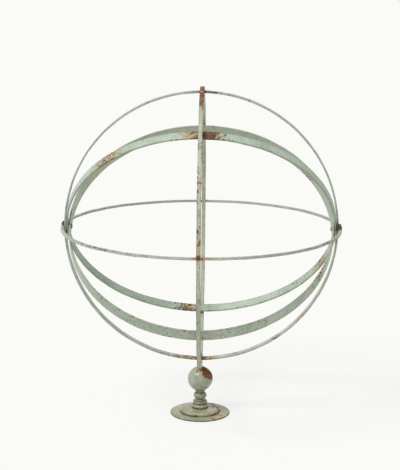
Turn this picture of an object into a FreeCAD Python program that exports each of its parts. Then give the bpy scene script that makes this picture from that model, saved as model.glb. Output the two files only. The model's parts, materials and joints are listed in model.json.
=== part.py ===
"""Armillary sphere: a turned pedestal carrying a cage of hoops with two tilting bands.

Millimetres, +Z up. The origin is the centre of the foot's underside and the front is -Y.
The cage has an upright meridian ring in the YZ plane, an upright colure ring in the XZ plane
and a level horizon ring. Two bands lie inside the colure, one inside the other, and tilt on
a pair of pins along the X axis. The whole cage turns on an upright stud above the ball.
"""
import FreeCAD, Part
import math
import os
import re

import Sketcher

# Driving dimensions: name, value, meaning.
SIZES = [
    ("foot_radius", 71.5, "foot disc"),
    ("foot_thickness", 4.6, "foot disc under the step"),
    ("rim_thickness", 3.2, "foot disc at its edge"),
    ("rim_round", 1.1, "rounding of the foot's edge"),
    ("step_radius", 47.0, "raised step on the foot"),
    ("step_height", 9.4, "step, from the foot to the collar"),
    ("step_round", 5.0, "rounding of the step's shoulder"),
    ("step_rise", 1.0, "slope of the step's top towards the collar"),
    ("recess_radius", 13.0, "nut recess under the foot"),
    ("recess_height", 10.0, "nut recess, from the underside up"),
    ("screw_circle", 30.0, "radius on which the foot screws stand"),
    ("screw_radius", 2.0, "foot screw's shank"),
    ("screw_length", 11.0, "foot screw, head and shank"),
    ("screw_head_radius", 4.0, "foot screw's countersunk head"),
    ("screw_head_height", 2.2, "foot screw's countersunk head"),
    ("screw_slot_width", 1.0, "foot screw's driving slot"),
    ("collar_radius", 20.0, "collar's lower ring"),
    ("collar_swell", 2.6, "how far the lower ring swells"),
    ("collar_ring_height", 9.6, "collar's lower ring"),
    ("collar_neck_radius", 16.0, "groove between the collar's rings"),
    ("collar_groove_height", 1.2, "groove between the collar's rings"),
    ("collar_top_radius", 17.5, "collar's upper ring"),
    ("collar_top_swell", 1.6, "how far the upper ring swells"),
    ("collar_top_height", 7.2, "collar's upper ring"),
    ("waist_radius", 10.6, "waist above the collar"),
    ("waist_flare", 3.0, "cove between waist and collar"),
    ("waist_height", 5.4, "waist, up to the bead"),
    ("bead_radius", 15.9, "bead on the stem"),
    ("bead_swell", 4.3, "how far the bead swells"),
    ("bead_height", 14.6, "bead on the stem"),
    ("neck_radius", 11.3, "neck below the ball"),
    ("neck_height", 7.3, "neck, from the bead to the ball"),
    ("ball_radius", 30.0, "ball on the stem"),
    ("ball_seat_radius", 12.5, "flat on which the ball sits"),
    ("ball_flat_radius", 6.5, "flat on top of the ball"),
    ("rod_radius", 4.0, "tie rod"),
    ("rod_engagement", 22.0, "tie rod's length inside the ball"),
    ("rod_tail", 0.9, "tie rod's clearance above the floor"),
    ("foot_washer_radius", 11.0, "washer under the foot"),
    ("foot_washer_thickness", 1.6, "washer under the foot"),
    ("foot_nut_flats", 13.0, "foot nut across its flats"),
    ("foot_nut_height", 6.5, "foot nut"),
    ("stud_radius", 3.0, "pivot stud's two ends"),
    ("stud_shoulder_radius", 4.0, "pivot stud between ball and cage"),
    ("stud_engagement", 16.0, "pivot stud's length inside the ball"),
    ("stud_gap", 10.3, "from the top of the ball to the meridian ring"),
    ("ball_washer_thickness", 1.5, "washer on the ball's flat"),
    ("thrust_washer_radius", 6.0, "washers above and below the cage"),
    ("thrust_washer_thickness", 1.4, "washer that carries the cage"),
    ("keeper_washer_thickness", 1.2, "washer under the stud's cap nut"),
    ("cap_flats", 10.0, "stud's cap nut across its flats"),
    ("cap_hex_height", 5.0, "cap nut's hexagon"),
    ("cap_dome_radius", 4.6, "cap nut's dome"),
    ("cap_depth", 6.2, "cap nut's thread"),
    ("cage_radius", 323.0, "outside of the colure ring"),
    ("meridian_depth", 8.0, "meridian ring's bar, radially"),
    ("meridian_width", 9.5, "meridian ring's bar, along X"),
    ("colure_thickness", 4.5, "colure ring's bar, radially"),
    ("colure_width", 18.0, "colure ring's bar, along Y"),
    ("horizon_depth", 7.0, "horizon ring's bar, radially"),
    ("horizon_thickness", 5.4, "horizon ring's bar, along Z"),
    ("lap_depth", 4.0, "meridian ring left inside the half-lap"),
    ("band_thickness", 4.0, "both bands' bar, radially"),
    ("narrow_width", 20.0, "narrow band's bar"),
    ("narrow_tilt", 52.0, "narrow band, front side up, in degrees"),
    ("broad_width", 34.0, "broad band's bar"),
    ("broad_tilt", 39.0, "broad band, back side up, in degrees"),
    ("hoop_gap", 1.4, "between colure ring and bands, one inside the other"),
    ("bar_round", 0.7, "eased edges of every bar"),
    ("pin_radius", 3.0, "pivot pins"),
    ("pin_head_radius", 7.0, "pivot pins' domed heads"),
    ("pin_head_height", 3.4, "pivot pins' domed heads"),
    ("spacer_radius", 6.5, "spacers and washers on the pivot pins"),
    ("pin_washer_thickness", 0.8, "washers under the pivot pins' nuts"),
    ("pin_nut_flats", 9.0, "pivot pins' thin nuts across their flats"),
    ("pin_nut_height", 2.4, "pivot pins' thin nuts"),
    ("zenith_rivet_radius", 2.5, "rivet at the top of the cage"),
    ("nadir_rivet_radius", 1.4, "rivets beside the stud"),
    ("nadir_rivet_offset", 7.2, "rivets beside the stud, from its axis"),
    ("lap_rivet_radius", 1.5, "rivets through the half-laps"),
    ("side_play", 0.25, "between a turning face and the face beside it"),
    ("running_clearance", 0.08, "round a pin or stud that something turns on"),
    ("fixed_clearance", 0.05, "round a rivet, screw or thread"),
    ("bore_clearance", 0.3, "round the tie rod and round a pin's head"),
]

doc = FreeCAD.newDocument("armillary_sphere")
sheet = doc.addObject("Spreadsheet::Sheet", "Sizes")
for row, (name, number, meaning) in enumerate(SIZES, start=1):
    sheet.set(f"A{row}", name)
    sheet.set(f"B{row}", str(number))
    sheet.setAlias(f"B{row}", name)
    sheet.set(f"C{row}", meaning)
doc.recompute()

# Heights and radii worked out from the driving dimensions, as formulas.
step_top = "(foot_thickness + step_height)"
collar_height = "(collar_ring_height + collar_groove_height + collar_top_height)"
collar_top = f"({step_top} + {collar_height})"
bead_length = "(waist_height + bead_height + neck_height)"
stem_top = f"({collar_top} + {bead_length})"
ball_centre = f"({stem_top} + sqrt(ball_radius^2 - ball_seat_radius^2))"
ball_flat = f"({ball_centre} + sqrt(ball_radius^2 - ball_flat_radius^2))"
ring_inner = "sqrt(cage_radius^2 + (colure_width / 2)^2)"
meridian_outer = f"({ring_inner} + meridian_depth)"
horizon_outer = f"({ring_inner} + horizon_depth)"
lap_radius = f"({ring_inner} + lap_depth)"
cage_centre = f"({ball_centre} + ball_radius + stud_gap + {meridian_outer})"
colure_inner = "(cage_radius - colure_thickness)"
narrow_outer = f"({colure_inner} - hoop_gap)"
narrow_inner = f"({narrow_outer} - band_thickness)"
broad_outer = f"({narrow_inner} - hoop_gap)"
broad_inner = f"({broad_outer} - band_thickness)"
foot_washer_base = "(recess_height - foot_washer_thickness)"
foot_nut_base = f"({foot_washer_base} - foot_nut_height)"
rod_top = f"({stem_top} + rod_engagement)"
shoulder_base = f"({ball_flat} + ball_washer_thickness)"
shoulder_top = f"({cage_centre} - {meridian_outer} - side_play - thrust_washer_thickness)"
keeper_base = f"({cage_centre} - {colure_inner} + side_play)"
cap_base = f"({keeper_base} + keeper_washer_thickness)"
pin_washer_top = f"({broad_inner} - side_play)"
pin_nut_top = f"({pin_washer_top} - pin_washer_thickness)"
pin_tip = f"({pin_nut_top} - pin_nut_height)"

ALONG_X = FreeCAD.Rotation(FreeCAD.Vector(0, 1, 0), 90)
ALONG_MINUS_X = FreeCAD.Rotation(FreeCAD.Vector(0, 1, 0), -90)
ALONG_Y = FreeCAD.Rotation(FreeCAD.Vector(1, 0, 0), -90)
ALONG_MINUS_Y = FreeCAD.Rotation(FreeCAD.Vector(1, 0, 0), 90)
UPRIGHT = FreeCAD.Rotation()
SCREWS_FORE_AND_AFT = FreeCAD.Rotation(FreeCAD.Vector(0, 0, 1), 90)


def bound(formula):
    """A formula in size names, with each name turned into its cell of the sheet."""
    return re.sub(r"\b[a-z]+(?:_[a-z]+)+\b", lambda word: "Sizes." + word.group(), formula)


def value(formula):
    """A formula's number at the present sizes."""
    return float(sheet.evalExpression(bound(formula)))


def bind(thing, **formulas):
    """Tie properties of one feature to formulas; double underscores stand for dots."""
    for name, formula in formulas.items():
        thing.setExpression(name.replace("__", "."), bound(formula))


def new_body(label):
    """An empty PartDesign body whose label is the sub-part's name."""
    body = doc.addObject("PartDesign::Body", label)
    body.Label = label
    return body


def place(body, at=("0", "0", "0"), turned=UPRIGHT):
    """Put a body at a point given by three formulas, turned by a fixed rotation."""
    body.Placement = FreeCAD.Placement(FreeCAD.Vector(), turned)
    bind(body, Placement__Base__x=at[0], Placement__Base__y=at[1], Placement__Base__z=at[2])


def origin_feature(body, role):
    """One of the body's own origin planes or axes."""
    return next(item for item in body.Origin.OriginFeatures if item.Role == role)


def sketch_on(body, plane, name):
    """A sketch on one of the body's origin planes."""
    sketch = body.newObject("Sketcher::SketchObject", f"{body.Label}_{name}")
    sketch.AttachmentSupport = [(origin_feature(body, plane), "")]
    sketch.MapMode = "FlatFace"
    return sketch


def constrain(sketch, kind, formula, *where):
    """Add one dimension to a sketch and tie it to a formula."""
    index = sketch.addConstraint(Sketcher.Constraint(kind, *where, value(formula)))
    sketch.setExpression(f"Constraints[{index}]", bound(formula))


def pin_point(sketch, geometry, end, across, up):
    """Hold one end of a line or arc at the point (across, up)."""
    for kind, formula, axis in (("DistanceX", across, -2), ("DistanceY", up, -1)):
        if formula == "0":
            sketch.addConstraint(Sketcher.Constraint("PointOnObject", geometry, end, axis))
        else:
            constrain(sketch, kind, formula, -1, 1, geometry, end)


def arc_between(start, end, radius, side):
    """A counter-clockwise arc from start to end, or from end to start when side is -1.

    With side 1 the arc swells to the right of the way from start to end, and with -1 it
    is cut in to the left of it.
    """
    if side < 0:
        start, end = end, start
    half = (end - start) * 0.5
    reach = math.sqrt(max(radius ** 2 - half.Length ** 2, 0.0))
    leftward = FreeCAD.Vector(-half.y, half.x, 0).normalize()
    centre = start + half + leftward * reach
    first = math.atan2(start.y - centre.y, start.x - centre.x)
    last = math.atan2(end.y - centre.y, end.x - centre.x)
    circle = Part.Circle(centre, FreeCAD.Vector(0, 0, 1), radius)
    return Part.ArcOfCircle(circle, first, last)


def outline(sketch, corners):
    """Draw a closed, fully dimensioned loop through corners (across, up, radius, side).

    Radius and side belong to the arc that arrives at the corner; a corner without them
    is reached by a straight line.
    """
    points = [FreeCAD.Vector(value(c[0]), value(c[1]), 0) for c in corners]
    ends = []
    for index, corner in enumerate(corners):
        start, end = points[index - 1], points[index]
        if len(corner) == 2:
            piece = sketch.addGeometry(Part.LineSegment(start, end))
            ends.append((piece, 1, 2))
            continue
        radius, side = corner[2:]
        piece = sketch.addGeometry(arc_between(start, end, value(radius), side))
        ends.append((piece, 1, 2) if side > 0 else (piece, 2, 1))
    for index, corner in enumerate(corners):
        piece, _, arrives = ends[index]
        after, leaves, _ = ends[(index + 1) % len(corners)]
        sketch.addConstraint(Sketcher.Constraint("Coincident", piece, arrives, after, leaves))
        pin_point(sketch, piece, arrives, corner[0], corner[1])
        if len(corner) > 2:
            constrain(sketch, "Radius", corner[2], piece)


def turn(body, corners, kind="Revolution"):
    """Turn an outline (radius, height) about the body's Z axis, as material or as a groove."""
    sketch = sketch_on(body, "XZ_Plane", kind.lower() + "_outline")
    outline(sketch, corners)
    feature = body.newObject(f"PartDesign::{kind}", f"{body.Label}_{kind.lower()}")
    feature.Profile = sketch
    feature.ReferenceAxis = (sketch, ["V_Axis"])
    feature.Angle = 360
    return feature


def turned_body(label, corners, at=("0", "0", "0"), turned=UPRIGHT):
    """A sub-part that is one turned outline."""
    body = new_body(label)
    turn(body, corners)
    place(body, at, turned)
    return body


def sleeve(inner, outer, low, high):
    """Corners of a plain ring's section."""
    return [(inner, low), (outer, low), (outer, high), (inner, high)]


def rod(radius, low, high):
    """Corners of a plain rod's half section."""
    return [("0", low), (radius, low), (radius, high), ("0", high)]


def cut_through(body, plane, name, shapes, sides="both"):
    """Cut sketched circles (across, up, radius) and boxes (x0, x1, y0, y1) from the plane.

    The cut runs to both sides of the plane, or only to its front or its back.
    """
    sketch = sketch_on(body, plane, name)
    for shape in shapes:
        if len(shape) == 3:
            across, up, radius = shape
            centre = FreeCAD.Vector(value(across), value(up), 0)
            circle = Part.Circle(centre, FreeCAD.Vector(0, 0, 1), value(radius))
            piece = sketch.addGeometry(circle)
            pin_point(sketch, piece, 3, across, up)
            constrain(sketch, "Radius", radius, piece)
        else:
            x_low, x_high, y_low, y_high = shape
            corners = [(x_low, y_low), (x_high, y_low), (x_high, y_high), (x_low, y_high)]
            outline(sketch, corners)
    before = body.Shape.Volume
    pocket = body.newObject("PartDesign::Pocket", f"{body.Label}_{name}_cut")
    pocket.Profile = sketch
    pocket.Type = "Length"
    reach = "cage_radius * 3" if sides == "both" else "cage_radius * 1.5"
    bind(pocket, Length=reach)
    pocket.Midplane = sides == "both"
    pocket.Reversed = sides == "front"
    doc.recompute()
    if not body.Shape.Volume < before:
        raise RuntimeError(f"{name} removes nothing from {body.Label}")


def hoop(label, inner, outer, width):
    """A flat bar bent into a hoop about the body's Z axis, with eased edges."""
    body = new_body(label)
    half = f"({width} / 2)"
    ring = turn(body, sleeve(inner, outer, f"-{half}", half))
    doc.recompute()
    ease = body.newObject("PartDesign::Fillet", f"{label}_eased")
    ease.Base = (ring, ["Edge1"])
    ease.UseAllEdges = True
    bind(ease, Radius="bar_round")
    doc.recompute()
    return body


def arc_radius(chord, rise):
    """Radius formula of an arc from its chord and how far it swells."""
    return f"((({chord}) / 2)^2 + ({rise})^2) / (2 * ({rise}))"


def foot_disc():
    """Thin disc with a rounded edge, a nut recess and three countersunk screw holes."""
    body = new_body("foot_disc")
    turn(body, [
        ("recess_radius", "0"),
        ("foot_radius - rim_round", "0"),
        ("foot_radius", "rim_round", "rim_round", 1),
        ("foot_radius", "rim_thickness - rim_round"),
        ("foot_radius - rim_round", "rim_thickness", "rim_round", 1),
        ("step_radius", "foot_thickness"),
        ("recess_radius", "foot_thickness"),
    ])
    doc.recompute()
    sink = body.newObject("PartDesign::SubtractiveCone", "foot_disc_countersink")
    bind(sink, Radius1="screw_head_radius + bore_clearance",
         Radius2="screw_radius + bore_clearance", Height="screw_head_height + fixed_clearance",
         Placement__Base__x="screw_circle")
    doc.recompute()
    hole = body.newObject("PartDesign::SubtractiveCylinder", "foot_disc_screw_hole")
    bind(hole, Radius="screw_radius + bore_clearance", Height="foot_thickness * 2",
         Placement__Base__x="screw_circle")
    doc.recompute()
    three_round(body, [sink, hole])
    place(body, turned=SCREWS_FORE_AND_AFT)


def three_round(body, features):
    """Repeat features three times about the body's Z axis."""
    pattern = body.newObject("PartDesign::PolarPattern", f"{body.Label}_three")
    pattern.Originals = features
    pattern.Axis = (origin_feature(body, "Z_Axis"), [""])
    pattern.Angle = 360
    pattern.Occurrences = 3
    body.Tip = pattern
    doc.recompute()


def foot_step():
    """Raised step with a rounded shoulder, a recess below and tapped screw holes."""
    body = new_body("foot_step")
    shoulder = "step_height - step_rise"
    turn(body, [
        ("recess_radius", "0"),
        ("step_radius", "0"),
        ("step_radius", f"{shoulder} - step_round"),
        ("step_radius - step_round", shoulder, "step_round", 1),
        ("collar_radius", "step_height"),
        ("rod_radius + bore_clearance", "step_height"),
        ("rod_radius + bore_clearance", "recess_height - foot_thickness"),
        ("recess_radius", "recess_height - foot_thickness"),
    ])
    doc.recompute()
    hole = body.newObject("PartDesign::SubtractiveCylinder", "foot_step_screw_hole")
    bind(hole, Radius="screw_radius + fixed_clearance",
         Height="screw_length - foot_thickness + bore_clearance",
         Placement__Base__x="screw_circle")
    doc.recompute()
    three_round(body, [hole])
    place(body, ("0", "0", "foot_thickness"), SCREWS_FORE_AND_AFT)


def foot_screws():
    """Three countersunk screws, flush with the foot's underside, each with a slot."""
    body = new_body("foot_screws")
    head = body.newObject("PartDesign::AdditiveCone", "foot_screws_head")
    bind(head, Radius1="screw_head_radius", Radius2="screw_radius",
         Height="screw_head_height", Placement__Base__x="screw_circle",
         Placement__Base__z="fixed_clearance")
    doc.recompute()
    shank = body.newObject("PartDesign::AdditiveCylinder", "foot_screws_shank")
    bind(shank, Radius="screw_radius", Height="screw_length - fixed_clearance",
         Placement__Base__x="screw_circle", Placement__Base__z="fixed_clearance")
    doc.recompute()
    slot = body.newObject("PartDesign::SubtractiveBox", "foot_screws_slot")
    bind(slot, Length="screw_slot_width", Width="screw_head_radius * 3",
         Height="screw_head_height / 2", Placement__Base__x="screw_circle - screw_slot_width / 2",
         Placement__Base__y="-screw_head_radius * 1.5")
    doc.recompute()
    three_round(body, [head, shank, slot])
    place(body, turned=SCREWS_FORE_AND_AFT)


def stem():
    """Collar of two rings, and the waist, bead and neck above it, bored for the tie rod."""
    bore = "rod_radius + bore_clearance"
    groove_top = "collar_ring_height + collar_groove_height"
    turned_body("stem_collar", [
        (bore, "0"),
        ("collar_radius - collar_swell", "0"),
        ("collar_radius - collar_swell", "collar_ring_height",
         arc_radius("collar_ring_height", "collar_swell"), 1),
        ("collar_neck_radius", "collar_ring_height"),
        ("collar_neck_radius", groove_top),
        ("collar_top_radius - collar_top_swell", groove_top),
        ("collar_top_radius - collar_top_swell", collar_height,
         arc_radius("collar_top_height", "collar_top_swell"), 1),
        (bore, collar_height),
    ], ("0", "0", step_top))
    bead_top = "waist_height + bead_height"
    turned_body("stem_bead", [
        (bore, "0"),
        ("waist_radius + waist_flare", "0"),
        ("waist_radius", "waist_flare", "waist_flare", -1),
        ("bead_radius - bead_swell", "waist_height"),
        ("bead_radius - bead_swell", bead_top, arc_radius("bead_height", "bead_swell"), 1),
        ("neck_radius", f"{bead_top} + neck_height / 3"),
        ("ball_seat_radius", bead_length),
        (bore, bead_length),
    ], ("0", "0", collar_top))


def ball():
    """Ball tapped from below for the tie rod and from above for the pivot stud."""
    bottom = "-sqrt(ball_radius^2 - ball_seat_radius^2)"
    top = "sqrt(ball_radius^2 - ball_flat_radius^2)"
    rod_end = f"{bottom} + rod_engagement + bore_clearance"
    stud_end = f"{top} - stud_engagement - bore_clearance"
    turned_body("ball", [
        ("0", rod_end),
        ("rod_radius + fixed_clearance", rod_end),
        ("rod_radius + fixed_clearance", bottom),
        ("ball_seat_radius", bottom),
        ("ball_flat_radius", top, "ball_radius", 1),
        ("stud_radius + fixed_clearance", top),
        ("stud_radius + fixed_clearance", stud_end),
        ("0", stud_end),
    ], ("0", "0", ball_centre))


def hex_nut(label, flats, height, bore, at, turned=UPRIGHT):
    """Plain hexagon nut, its lower face at the body's origin."""
    body = new_body(label)
    prism = body.newObject("PartDesign::AdditivePrism", f"{label}_hexagon")
    prism.Polygon = 6
    bind(prism, Circumradius=f"({flats}) / sqrt(3)", Height=height)
    doc.recompute()
    cut_through(body, "XY_Plane", "bore", [("0", "0", bore)])
    place(body, at, turned)


def cap_nut(label, bore, at):
    """Hexagon nut closed by a dome, its seat at the body's origin and its dome towards +Z."""
    body = new_body(label)
    prism = body.newObject("PartDesign::AdditivePrism", f"{label}_hexagon")
    prism.Polygon = 6
    bind(prism, Circumradius="cap_flats / sqrt(3)", Height="cap_hex_height")
    doc.recompute()
    turn(body, [
        ("0", "cap_hex_height / 2"),
        ("cap_dome_radius", "cap_hex_height / 2"),
        ("cap_dome_radius", "cap_hex_height"),
        ("0", "cap_hex_height + cap_dome_radius", "cap_dome_radius", 1),
    ])
    doc.recompute()
    turn(body, rod(bore, "0", "cap_depth"), "Groove")
    doc.recompute()
    place(body, at)


def fixings_in_stand():
    """Tie rod with its washer and nut, and the pivot stud with its washers and cap nut."""
    rod_low = "rod_tail"
    turned_body("tie_rod", rod("rod_radius", rod_low, rod_top))
    turned_body("foot_washer", sleeve("rod_radius + bore_clearance", "foot_washer_radius",
                                      "0", "foot_washer_thickness"),
                ("0", "0", foot_washer_base))
    hex_nut("foot_nut", "foot_nut_flats", "foot_nut_height",
            "rod_radius + fixed_clearance", ("0", "0", foot_nut_base))
    stud_tip = f"{cap_base} + cap_depth - bore_clearance"
    turned_body("pivot_stud", [
        ("0", f"{ball_flat} - stud_engagement"),
        ("stud_radius", f"{ball_flat} - stud_engagement"),
        ("stud_radius", shoulder_base),
        ("stud_shoulder_radius", shoulder_base),
        ("stud_shoulder_radius", shoulder_top),
        ("stud_radius", shoulder_top),
        ("stud_radius", stud_tip),
        ("0", stud_tip),
    ])
    stud_bore = "stud_radius + fixed_clearance"
    turned_body("ball_washer", sleeve(stud_bore, "ball_flat_radius",
                                      "0", "ball_washer_thickness"), ("0", "0", ball_flat))
    turned_body("thrust_washer", sleeve(stud_bore, "thrust_washer_radius",
                                        "0", "thrust_washer_thickness"),
                ("0", "0", shoulder_top))
    turned_body("keeper_washer", sleeve(stud_bore, "thrust_washer_radius",
                                        "0", "keeper_washer_thickness"),
                ("0", "0", keeper_base))
    cap_nut("stud_cap_nut", stud_bore, ("0", "0", cap_base))


def cage_rings():
    """Meridian, colure and horizon rings, half-lapped and drilled for each other."""
    centre = ("0", "0", cage_centre)
    stud_hole = "stud_radius + running_clearance"
    zenith_hole = "zenith_rivet_radius + fixed_clearance"
    nadir_hole = "nadir_rivet_radius + fixed_clearance"
    lap_hole = "lap_rivet_radius + fixed_clearance"

    # Turned so that its own +X is the nadir, its own -X the zenith and +-Y the horizon.
    meridian = hoop("meridian_ring", ring_inner, meridian_outer, "meridian_width")
    cut_through(meridian, "YZ_Plane", "nadir_holes", [
        ("0", "0", stud_hole),
        ("nadir_rivet_offset", "0", nadir_hole),
        ("-nadir_rivet_offset", "0", nadir_hole)], "front")
    cut_through(meridian, "YZ_Plane", "zenith_hole", [("0", "0", zenith_hole)], "back")
    beyond = f"{meridian_outer} + meridian_depth"
    half_lap = "(horizon_thickness / 2)"
    cut_through(meridian, "XY_Plane", "half_laps", [
        (f"-{half_lap}", half_lap, lap_radius, beyond),
        (f"-{half_lap}", half_lap, f"-({beyond})", f"-{lap_radius}")])
    cut_through(meridian, "XZ_Plane", "lap_holes", [("0", "0", lap_hole)])
    place(meridian, centre, ALONG_X)

    # Turned so that its own +Y is the zenith, -Y the nadir and +-X the pivot pins.
    colure = hoop("colure_ring", colure_inner, "cage_radius", "colure_width")
    cut_through(colure, "YZ_Plane", "pin_holes", [("0", "0", "pin_radius + fixed_clearance")])
    cut_through(colure, "XZ_Plane", "nadir_holes", [
        ("0", "0", stud_hole),
        ("0", "nadir_rivet_offset", nadir_hole),
        ("0", "-nadir_rivet_offset", nadir_hole)], "front")
    cut_through(colure, "XZ_Plane", "zenith_hole", [("0", "0", zenith_hole)], "back")
    place(colure, centre, ALONG_MINUS_Y)

    horizon = hoop("horizon_ring", ring_inner, horizon_outer, "horizon_thickness")
    half_bar = "(meridian_width / 2)"
    half_head = "(pin_head_radius + bore_clearance)"
    head_reach = "(cage_radius + pin_head_height + bore_clearance)"
    cut_through(horizon, "XY_Plane", "half_laps", [
        (f"-{half_bar}", half_bar, "cage_radius / 2", lap_radius),
        (f"-{half_bar}", half_bar, f"-{lap_radius}", "-cage_radius / 2")])
    cut_through(horizon, "XY_Plane", "pin_head_recesses", [
        ("cage_radius / 2", head_reach, f"-{half_head}", half_head),
        (f"-{head_reach}", "-cage_radius / 2", f"-{half_head}", half_head)])
    cut_through(horizon, "XZ_Plane", "lap_holes", [("0", "0", lap_hole)])
    place(horizon, centre)


def rivets():
    """Flush rivets at the zenith, beside the stud and through the two half-laps."""
    play = "fixed_clearance"
    outer = f"{meridian_outer} - {play}"
    inner = f"{colure_inner} + {play}"
    turned_body("zenith_rivet", rod("zenith_rivet_radius", inner, outer),
                ("0", "0", cage_centre))

    pair = new_body("nadir_rivets")
    for side, offset in (("front", "-nadir_rivet_offset"), ("rear", "nadir_rivet_offset")):
        rivet = pair.newObject("PartDesign::AdditiveCylinder", f"nadir_rivet_{side}")
        bind(rivet, Radius="nadir_rivet_radius", Height=f"({outer}) - ({inner}) - 4 * {play}",
             Placement__Base__y=offset, Placement__Base__z=f"-({outer}) + 2 * {play}")
        doc.recompute()
    place(pair, ("0", "0", cage_centre))

    pair = new_body("lap_rivets")
    for side, sign in (("rear", ""), ("front", "-")):
        rivet = pair.newObject("PartDesign::AdditiveCylinder", f"lap_rivet_{side}")
        low = f"({ring_inner} + {play})"
        high = f"({horizon_outer} - {play})"
        bind(rivet, Radius="lap_rivet_radius", Height=f"{high} - {low}",
             Placement__Base__z=low if side == "rear" else f"-{high}")
        doc.recompute()
    place(pair, ("0", "0", cage_centre), ALONG_Y)


def pivot(side, sign, outward):
    """One side pivot: headed pin, two spacers between the hoops, washer and thin nut.

    Each piece is built along its own Z, which points away from the cage's centre.
    """
    centre = ("0", "0", cage_centre)
    head = "cage_radius"
    turned_body(f"{side}_pivot_pin", [
        ("0", pin_tip),
        ("pin_radius", pin_tip),
        ("pin_radius", head),
        ("pin_head_radius", head),
        ("0", f"{head} + pin_head_height",
         "(pin_head_radius^2 + pin_head_height^2) / (2 * pin_head_height)", 1),
    ], centre, outward)

    spacers = new_body(f"{side}_pivot_spacers")
    for name, hoop_face in (("outer", narrow_outer), ("inner", broad_outer)):
        disc = spacers.newObject("PartDesign::AdditiveCylinder", f"{side}_spacer_{name}")
        bind(disc, Radius="spacer_radius", Height="hoop_gap - 2 * side_play",
             Placement__Base__z=f"{hoop_face} + side_play")
        doc.recompute()
    cut_through(spacers, "XY_Plane", "bore", [("0", "0", "pin_radius + fixed_clearance")])
    place(spacers, centre, outward)

    turned_body(f"{side}_pivot_washer",
                sleeve("pin_radius + fixed_clearance", "spacer_radius",
                       pin_nut_top, pin_washer_top), centre, outward)
    hex_nut(f"{side}_pivot_nut", "pin_nut_flats", "pin_nut_height",
            "pin_radius + fixed_clearance", (f"{sign}{pin_tip}", "0", cage_centre), outward)


def band(label, inner, outer, width, tilt):
    """A band bored at its two sides for the pivot pins and tilted about X."""
    body = hoop(label, inner, outer, width)
    cut_through(body, "YZ_Plane", "pin_holes", [("0", "0", "pin_radius + running_clearance")])
    place(body, ("0", "0", cage_centre), FreeCAD.Rotation(FreeCAD.Vector(1, 0, 0), 1))
    bind(body, Placement__Rotation__Angle=tilt)


def check_document():
    """Stop when a feature failed or a sub-part has no valid shape."""
    for item in doc.Objects:
        if "Invalid" in item.State or "Error" in item.State:
            raise RuntimeError(f"{item.Name} failed: {item.State}")
    for body in bodies():
        if body.Shape.isNull() or not body.Shape.isValid() or not body.Shape.Solids:
            raise RuntimeError(f"{body.Label} has no valid shape")


def bodies():
    """Every sub-part of the document."""
    return [item for item in doc.Objects if item.TypeId == "PartDesign::Body"]


foot_disc()
foot_step()
foot_screws()
stem()
ball()
fixings_in_stand()
cage_rings()
rivets()
pivot("left", "-", ALONG_MINUS_X)
pivot("right", "", ALONG_X)
band("narrow_band", narrow_inner, narrow_outer, "narrow_width", "-narrow_tilt")
band("broad_band", broad_inner, broad_outer, "broad_width", "broad_tilt")
doc.recompute()
check_document()

os.makedirs("parts", exist_ok=True)
for body in bodies():
    body.Shape.exportStep(f"parts/{body.Label}.step")
    box = body.Shape.BoundBox
    print(f"{body.Label:22s} {len(body.Shape.Solids)} solid(s) {body.Shape.Volume:10.0f} mm3 "
          f"X {box.XMin:7.1f} {box.XMax:7.1f} Y {box.YMin:7.1f} {box.YMax:7.1f} "
          f"Z {box.ZMin:6.1f} {box.ZMax:6.1f}")
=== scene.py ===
# %% [markdown]
# # An armillary sphere in chalky green paint
# The real object is a cage of bent iron bars on a small turned pedestal. Every bar and every
# turned piece was painted sage green long ago, and rust has since come through at the joints,
# along the edges and in scattered chips. The construction (sizes, pins, nuts, the joints that
# turn) is already settled in the CAD frame, so this lesson only gives it its surfaces.

# %% Load the frame
import json
import math

import bpy
import numpy as np
from mathutils import Matrix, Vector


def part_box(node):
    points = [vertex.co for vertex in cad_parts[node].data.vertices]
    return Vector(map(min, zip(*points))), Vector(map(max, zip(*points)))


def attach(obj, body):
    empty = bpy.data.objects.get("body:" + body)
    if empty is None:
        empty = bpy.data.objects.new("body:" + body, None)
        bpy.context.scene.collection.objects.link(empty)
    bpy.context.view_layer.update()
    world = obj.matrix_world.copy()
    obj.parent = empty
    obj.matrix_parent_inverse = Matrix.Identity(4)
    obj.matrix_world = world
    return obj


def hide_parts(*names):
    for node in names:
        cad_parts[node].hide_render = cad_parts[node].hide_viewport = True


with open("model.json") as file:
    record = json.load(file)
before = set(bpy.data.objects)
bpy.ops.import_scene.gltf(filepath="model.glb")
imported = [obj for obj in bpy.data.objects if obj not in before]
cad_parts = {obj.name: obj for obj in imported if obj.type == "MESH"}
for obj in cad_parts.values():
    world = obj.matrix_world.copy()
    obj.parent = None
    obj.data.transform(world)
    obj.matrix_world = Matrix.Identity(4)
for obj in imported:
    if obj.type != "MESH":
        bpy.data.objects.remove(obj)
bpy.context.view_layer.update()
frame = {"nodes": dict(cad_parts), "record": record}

MM = 0.001

# %% [markdown]
# ## Where things are
# Nothing is placed by eye. A hoop's plane, radii and width are read back from its CAD node:
# the points of a hoop spread least along its own axis, so that axis is the eigenvector of
# their covariance with the smallest eigenvalue. Angles round a hoop start at a chosen
# direction (the front, or the top) and grow towards a second one (the right, or the front).

# %% Read the hoops back from the frame
RIGHT = np.array([1.0, 0.0, 0.0])
FRONT = np.array([0.0, -1.0, 0.0])
TOP = np.array([0.0, 0.0, 1.0])


def node_points(node):
    """The CAD node's vertices as an array of points."""
    mesh = frame["nodes"][node].data
    flat = np.empty(3 * len(mesh.vertices))
    mesh.vertices.foreach_get("co", flat)
    return flat.reshape(-1, 3)


def flattened(direction, axis):
    """The part of a direction that lies in the plane square to an axis, at length one."""
    inside = direction - axis * (direction @ axis)
    return inside / np.linalg.norm(inside)


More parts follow.
